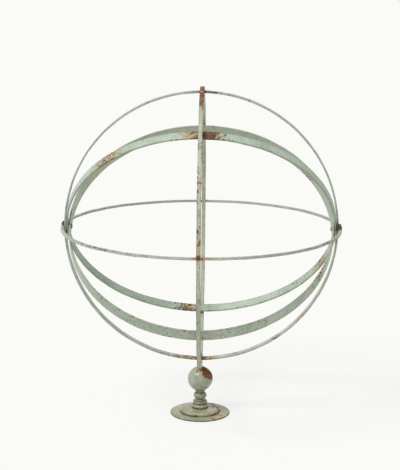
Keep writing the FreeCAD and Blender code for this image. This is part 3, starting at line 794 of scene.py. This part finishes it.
class Recipe:
    """Builds one material; every step returns the output socket that it made."""

    def __init__(self, name):
        self.material = bpy.data.materials.new(name)
        self.material.use_nodes = True
        self.tree = self.material.node_tree
        self.tree.nodes.clear()
        self.place = self.add("ShaderNodeTexCoord", out="Object")

    def add(self, kind, out=0, settings=(), **inputs):
        """Add a node, set its settings and inputs, and return one of its outputs."""
        node = self.tree.nodes.new(kind)
        for key, setting in dict(settings).items():
            setattr(node, key, setting)
        for key, given in inputs.items():
            socket = node.inputs[int(key[1:]) if key[0] == "_" else key.replace("_", " ")]
            if isinstance(given, bpy.types.NodeSocket):
                self.tree.links.new(given, socket)
            else:
                socket.default_value = given
        return node.outputs[out]

    def noise(self, size, detail=3.0, rough=0.55):
        """Cloudy noise whose lumps are about size metres across, from 0 to 1."""
        return self.add("ShaderNodeTexNoise", Vector=self.place, Scale=1 / size,
                        Detail=detail, Roughness=rough)

    def attribute(self, name):
        """A value stored on the mesh's points."""
        return self.add("ShaderNodeAttribute", out="Fac", settings={"attribute_name": name})

    def sum(self, first, factor, offset):
        """first * factor + offset."""
        return self.add("ShaderNodeMath", settings={"operation": "MULTIPLY_ADD"},
                        _0=first, _1=factor, _2=offset)

    def step(self, value, low, high):
        """Zero below low and one above high, with an S-shaped way between."""
        return self.add("ShaderNodeMapRange", settings={"interpolation_type": "SMOOTHSTEP"},
                        Value=value, From_Min=low, From_Max=high)

    def both(self, first, second):
        """Product of two values."""
        return self.add("ShaderNodeMath", settings={"operation": "MULTIPLY"},
                        _0=first, _1=second)

    def mix(self, share, low, high):
        """Colour low where share is 0 and high where it is 1."""
        return self.add("ShaderNodeMix", out=2, settings={"data_type": "RGBA"},
                        _0=share, _6=low, _7=high)

    def bump(self, height, strength, distance):
        """Normal of a surface raised by height times distance."""
        return self.add("ShaderNodeBump", Height=height, Strength=strength, Distance=distance)

    def finish(self, colour, roughness, normal, metallic=0.0):
        """Join the surface shader to the output and return the material."""
        shader = self.add("ShaderNodeBsdfPrincipled", Base_Color=colour, Roughness=roughness,
                          Normal=normal, Metallic=metallic)
        self.add_output(shader)
        return self.material

    def add_output(self, shader):
        """The material output node, which has no output of its own."""
        node = self.tree.nodes.new("ShaderNodeOutputMaterial")
        self.tree.links.new(shader, node.inputs["Surface"])


# %% [markdown]
# ## Old paint on iron
# Four layers lie over each other. The paint itself is chalky and mottled, paler where it is
# rubbed. A tan stain surrounds every place where rust has bled. The rust is a warm brown with
# dark pits. Chips are small, sharp and dark, and like edges. A dark grime colour lies along the
# bars' edges as wear, and in the pedestal's crevices and joints as painted shade.
# How rusty a place is comes from the patches stored on the points, broken up by noise, so that
# no outline stays smooth.

# %% The paint recipe
RUST = screen(142, 95, 60)
RUST_DEEP = screen(88, 58, 38)
RUST_PIT = screen(48, 37, 29)
STAIN = screen(180, 158, 118)
CHIP = screen(74, 68, 54)
# Dark grime colour: wear along the bars' edges, painted shade in the pedestal's crevices and joints.
EDGE_GRIME_AND_CREVICE_SHADE = screen(84, 90, 68)

# Sizes of the noises in metres, from the widest clouds to the tooth of the chalk.
CLOUD = 0.075
BLOTCH = 0.030
CHALK = 0.012
RUST_SHADE = 0.012
GRAIN = 0.009
FLAKE = 0.0055
PIT = 0.0035
TOOTH = 0.0018


def old_paint(name, pale, middle, deep, rust_level=0.0, chip_level=0.0, worn=True, dull=0.5,
              mottle=0.7):
    """Paint in three shades, with rust and chips where the points say so."""
    r = Recipe(name)
    cloud = r.step(r.noise(CLOUD, 4.0), 0.36, 0.64)
    chalk = r.step(r.noise(CHALK, 5.0, 0.65), 0.35, 0.72)
    colour = r.mix(cloud, deep, middle)
    colour = r.mix(r.both(chalk, mottle), colour, pale)

    grain = r.noise(GRAIN, 6.0, 0.68)
    blotch = r.noise(BLOTCH, 4.0, 0.6)
    rust_at = r.attribute("rust") if worn else rust_level
    edge_and_crevice_at = r.attribute("edge") if worn else 0.0
    chips_at = r.attribute("chips") if worn else chip_level
    # Darkens edges as wear, and the pedestal's crevices and joints as painted shade.
    colour = r.mix(r.both(edge_and_crevice_at, 0.55), colour, EDGE_GRIME_AND_CREVICE_SHADE)
    level = r.sum(grain, 1.5, r.sum(blotch, 1.3, r.sum(edge_and_crevice_at, 0.06, -1.42)))
    level = r.add("ShaderNodeMath", _0=level, _1=rust_at)
    stain = r.step(level, 0.04, 0.45)
    rust = r.step(level, 0.40, 0.66)
    colour = r.mix(r.both(stain, 0.75), colour, STAIN)
    shade = r.mix(r.step(r.noise(RUST_SHADE, 5.0, 0.7), 0.42, 0.58), RUST_DEEP, RUST)
    pits = r.step(r.noise(PIT, 3.0, 0.6), 0.56, 0.66)
    shade = r.mix(r.both(pits, 0.7), shade, RUST_PIT)
    colour = r.mix(rust, colour, shade)

    flake = r.noise(FLAKE, 4.0, 0.62)
    reach = r.sum(chips_at, 0.085, r.sum(edge_and_crevice_at, 0.05, -0.70))
    chips = r.step(r.add("ShaderNodeMath", _0=flake, _1=reach), 0.0, 0.025)
    colour = r.mix(r.both(chips, 0.85), colour, CHIP)

    bare = r.add("ShaderNodeMath", settings={"operation": "MAXIMUM"}, _0=rust, _1=chips)
    roughness = r.sum(bare, 0.85 - dull, r.sum(chalk, 0.10, dull - 0.05))
    height = r.sum(bare, -0.6, r.sum(grain, 0.9, r.both(r.noise(TOOTH, 2.0), 0.35)))
    return r.finish(colour, roughness, r.bump(height, 0.55, 0.0006))


finishes = {
    "ring_paint": old_paint("sage_paint_on_rings", screen(210, 216, 209),
                            screen(185, 193, 185), screen(159, 168, 160), mottle=0.6),
    "meridian": old_paint("sage_paint_on_meridian", screen(205, 211, 193),
                          screen(178, 186, 165), screen(154, 163, 143)),
    "band_paint": old_paint("sage_paint_on_bands", screen(198, 211, 199),
                            screen(178, 193, 178), screen(160, 177, 163), mottle=0.45),
    "broad": old_paint("sage_paint_on_broad_band", screen(198, 207, 190),
                       screen(178, 190, 171), screen(156, 173, 155), mottle=0.45),
    "pedestal_paint": old_paint("olive_paint_on_foot", screen(184, 188, 165),
                                screen(154, 158, 131), screen(126, 131, 103), dull=0.26),
    "ball": old_paint("sage_paint_on_ball", screen(200, 209, 198), screen(173, 182, 165),
                      screen(148, 157, 137), dull=0.24, mottle=0.5),
    "rusty_fixings": old_paint("thin_paint_on_fixings", screen(150, 150, 128),
                               screen(128, 124, 102), screen(104, 98, 78),
                               rust_level=0.42, chip_level=0.3, worn=False),
    "pivots": old_paint("sage_paint_on_pivots", screen(176, 186, 168), screen(152, 163, 143),
                        screen(128, 138, 118), rust_level=-0.25, chip_level=1.2, worn=False),
    # Two copies of one weld paint with light and shade painted in: this one is lightened against the
    # shade the right-hand braze sits in, the next is darkened as painted shade for the left-hand
    # brazes.
    "weld": old_paint("weld_paint_lightened_as_painted_light", screen(150, 146, 112), screen(120, 115, 84),
                      screen(82, 79, 56)),
    "weld_darkened_as_painted_shade": old_paint("braze_darkened_as_painted_shade", screen(96, 106, 90), screen(66, 76, 62),
                           screen(46, 54, 43)),
}
print("painted finishes:", ", ".join(sorted(finishes)))

# %% [markdown]
# ## Plain steel
# The tie rod, its nut and washer, and the three foot screws are out of sight unless the
# object is turned over. They are dull steel with a film of rust.

# %% Steel recipe
def dull_steel(name):
    """Grey metal clouded by a thin brown film, with roughness that follows the film."""
    r = Recipe(name)
    film = r.step(r.noise(0.006, 4.0, 0.6), 0.42, 0.70)
    colour = r.mix(film, screen(150, 148, 144), screen(112, 90, 70))
    grain = r.noise(0.0012, 2.0)
    return r.finish(colour, r.sum(film, 0.35, 0.42), r.bump(grain, 0.3, 0.0002), 0.85)


finishes["bare_steel"] = dull_steel("dull_steel")
print(len(finishes), "finishes in all")

# %% [markdown]
# ## Every piece gets its finish
# The imported record says which finish each CAD node takes, and a new piece takes the finish of
# the node that it stands for. Some pieces get a paint of their own, because they have weathered
# to another shade: the ball, the meridian ring, the broad band and the pivots' small fixings. The
# beads stand for no node; they get two copies of one weld paint, a darker one on the left as
# painted shade and a lighter one elsewhere as painted light.

# %% Finishes onto pieces
slot_of = {part["node"]: part["material_slot"] for part in frame["record"]["subparts"]}


def dress(piece, finish):
    """One material on a piece, whatever it had before."""
    piece.data.materials.clear()
    piece.data.materials.append(finish)


for node, thing in frame["nodes"].items():
    dress(thing, finishes[slot_of[node]])
turned_pieces = {"foot_disc": foot_disc, "foot_step": foot_step, "stem_collar": stem_collar,
                 "stem_bead": stem_bead, "ball": ball}
for node, piece in {**bars, **turned_pieces}.items():
    dress(piece, finishes[slot_of[node]])
for piece, finish in ((ball, "ball"), (bars["meridian_ring"], "meridian"),
                      (bars["broad_band"], "broad")):
    dress(piece, finishes[finish])
for side in ("left", "right"):
    for fixing in ("spacers", "washer", "nut"):
        dress(frame["nodes"][f"{side}_pivot_{fixing}"], finishes["pivots"])
# Left-hand beads take the darker copy, painted shade; the others take the lighter copy, painted
# light.
for piece in lumps:
    dress(piece, finishes["weld_darkened_as_painted_shade" if piece.name.startswith("left_") else "weld"])
print(len(bars) + len(turned_pieces) + len(lumps), "new pieces dressed")

# %% [markdown]
# ## Floor
# The floor is a very large pale plate that curves up at its far edge. To the camera it is
# mostly a plain near-white, so that the surroundings stay even, but a quarter of its
# brightness comes from the light that falls on it, which keeps the object's soft shadow.

# %% Floor surface and material
FLOOR_RADIUS = 45.0
BRIM_START = 25.0
BRIM_RISE = 2.0
FLOOR_RINGS = 60
FLOOR_COLUMNS = 96
FLOOR_GLOW = 0.74
BACKGROUND = screen(250, 250, 249)


def floor_grid():
    """Rings of points whose height is rise * ((radius - start) / width) squared."""
    radius = np.concatenate([[0.0], np.geomspace(0.1, FLOOR_RADIUS, FLOOR_RINGS)])
    lift = np.clip((radius - BRIM_START) / (FLOOR_RADIUS - BRIM_START), 0, 1) ** 2 * BRIM_RISE
    angle = np.linspace(0, 2 * math.pi, FLOOR_COLUMNS, endpoint=False)[None, :]
    ring = radius[:, None]
    return np.stack([ring * np.cos(angle), ring * np.sin(angle),
                     np.broadcast_to(lift[:, None], (len(radius), FLOOR_COLUMNS))], -1)


def seen_directly(tree):
    """One for camera, mirror and see-through rays, zero for light that bounces."""
    path = tree.nodes.new("ShaderNodeLightPath")
    seen = path.outputs["Is Camera Ray"]
    for name in ("Is Glossy Ray", "Is Transmission Ray"):
        either = tree.nodes.new("ShaderNodeMath")
        either.operation = "MAXIMUM"
        tree.links.new(seen, either.inputs[0])
        tree.links.new(path.outputs[name], either.inputs[1])
        seen = either.outputs[0]
    return seen


def floor_paper():
    """Pale diffuse floor; what the camera sees is mostly a plain glow, the rest lit."""
    r = Recipe("pale_floor")
    plain = r.add("ShaderNodeBsdfDiffuse", Color=screen(226, 226, 221))
    part = r.add("ShaderNodeBsdfDiffuse", Color=screen(137, 137, 133))
    glow = r.add("ShaderNodeEmission", Color=BACKGROUND, Strength=FLOOR_GLOW)
    shown = r.add("ShaderNodeAddShader", _0=part, _1=glow)
    r.add_output(r.add("ShaderNodeMixShader", _0=seen_directly(r.tree), _1=plain, _2=shown))
    return r.material


floor = surface("floor", floor_grid(), closed=False, capped=False)
dress(floor, floor_paper())

# %% [markdown]
# ## Light
# The light is a plain, even studio. A pale surround gives about half of it. The rest comes
# from one very large soft light high on the left in front: a sun lamp whose disc is widened
# to the size of a window, so that it models the ball but throws no hard shadow. Together they
# are set so that a colour comes out about as it is written.

# %% Surround and lamp
SURROUND_STRENGTH = 0.50
SUN_TURN = math.radians(-50)
SUN_HEIGHT = math.radians(52)
SUN_DISC = math.radians(24)
SUN_STRENGTH = 2.0
SUN_COLOUR = (1.0, 0.99, 0.97)
SUN_AWAY = 3

world = bpy.data.worlds.new("surround")
world.use_nodes = True
bpy.context.scene.world = world
world.node_tree.nodes.clear()


def surround():
    """Even white surround, shown to the camera as the plain background colour."""
    tree = world.node_tree
    light = tree.nodes.new("ShaderNodeBackground")
    light.inputs["Strength"].default_value = SURROUND_STRENGTH
    light.inputs["Color"].default_value = (1.0, 1.0, 1.0, 1.0)
    shown = tree.nodes.new("ShaderNodeBackground")
    shown.inputs["Color"].default_value = BACKGROUND
    choose = tree.nodes.new("ShaderNodeMixShader")
    output = tree.nodes.new("ShaderNodeOutputWorld")
    tree.links.new(seen_directly(tree), choose.inputs[0])
    tree.links.new(light.outputs[0], choose.inputs[1])
    tree.links.new(shown.outputs[0], choose.inputs[2])
    tree.links.new(choose.outputs[0], output.inputs["Surface"])


surround()
sun_data = bpy.data.lights.new("wide_sun", "SUN")
sun_data.angle = SUN_DISC
sun_data.energy = SUN_STRENGTH
sun_data.color = SUN_COLOUR
sun = bpy.data.objects.new("wide_sun", sun_data)
bpy.context.scene.collection.objects.link(sun)
sunward = np.array([math.sin(SUN_TURN) * math.cos(SUN_HEIGHT),
                    -math.cos(SUN_TURN) * math.cos(SUN_HEIGHT), math.sin(SUN_HEIGHT)])
level_way = unit(np.cross(TOP, sunward))
sun.matrix_world = placed_at(cage_centre + SUN_AWAY * sunward, level_way,
                             np.cross(sunward, level_way), sunward)
bpy.context.scene.view_settings.view_transform = "Standard"
print("surround", SURROUND_STRENGTH, "sun", SUN_STRENGTH)
